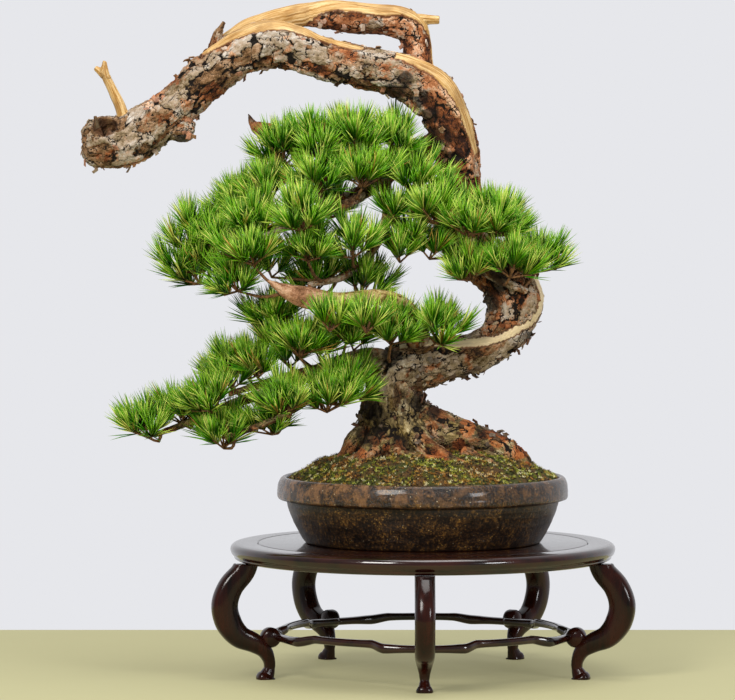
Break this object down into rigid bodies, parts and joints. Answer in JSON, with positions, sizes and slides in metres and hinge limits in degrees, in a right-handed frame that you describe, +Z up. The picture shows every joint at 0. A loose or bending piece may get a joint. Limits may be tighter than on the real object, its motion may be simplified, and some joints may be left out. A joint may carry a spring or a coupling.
{
  "type": "bonsai tree",
  "caption": "Trained pine bonsai with an arching bare trunk and needle pads, in a round glazed pot on a round legged display stand.",
  "frame": {"origin": "centre of the whole object's footprint box, on the floor plane", "axes": "+Z up; -Y towards the viewer of the picture; +X to that viewer's right"},
  "size_m": [0.713, 0.536, 0.8751],
  "materials": {
    "bark": "matte",
    "needles": "satin",
    "soil": "matte",
    "glaze": "gloss",
    "screen": "matte",
    "rosewood": "gloss"
  },
  "bodies": {
    "root": {"trunk": "bark", "needles_upper_01": "needles", "needles_upper_02": "needles", "needles_upper_03": "needles", "needles_upper_04": "needles", "needles_upper_05": "needles", "needles_upper_06": "needles", "needles_upper_07": "needles", "needles_upper_08": "needles", "needles_upper_09": "needles", "needles_upper_10": "needles", "needles_upper_11": "needles", "needles_upper_12": "needles", "needles_upper_13": "needles", "needles_upper_14": "needles", "needles_upper_15": "needles", "needles_upper_16": "needles", "needles_upper_17": "needles", "needles_upper_18": "needles", "needles_upper_19": "needles", "needles_upper_20": "needles", "needles_upper_21": "needles", "needles_right_01": "needles", "needles_right_02": "needles", "needles_right_03": "needles", "needles_right_04": "needles", "needles_right_05": "needles", "needles_right_06": "needles", "needles_right_07": "needles", "needles_lower_01": "needles", "needles_lower_02": "needles", "needles_lower_03": "needles", "needles_lower_04": "needles", "needles_lower_05": "needles", "needles_lower_06": "needles", "needles_lower_07": "needles", "needles_lower_08": "needles", "needles_lower_09": "needles", "needles_lower_10": "needles", "needles_lower_11": "needles", "needles_lower_12": "needles", "needles_lower_13": "needles", "needles_lower_14": "needles", "needles_lower_15": "needles", "soil": "soil", "pot": "glaze", "drain_screen_left": "screen", "drain_screen_right": "screen", "stand_frame": "rosewood", "stand_panel": "rosewood", "stand_leg_1": "rosewood", "stand_leg_2": "rosewood", "stand_leg_3": "rosewood", "stand_leg_4": "rosewood", "stand_leg_5": "rosewood", "stand_rail_1": "rosewood", "stand_rail_2": "rosewood", "stand_rail_3": "rosewood", "stand_rail_4": "rosewood", "stand_rail_5": "rosewood"}
  },
  "joints": []
}
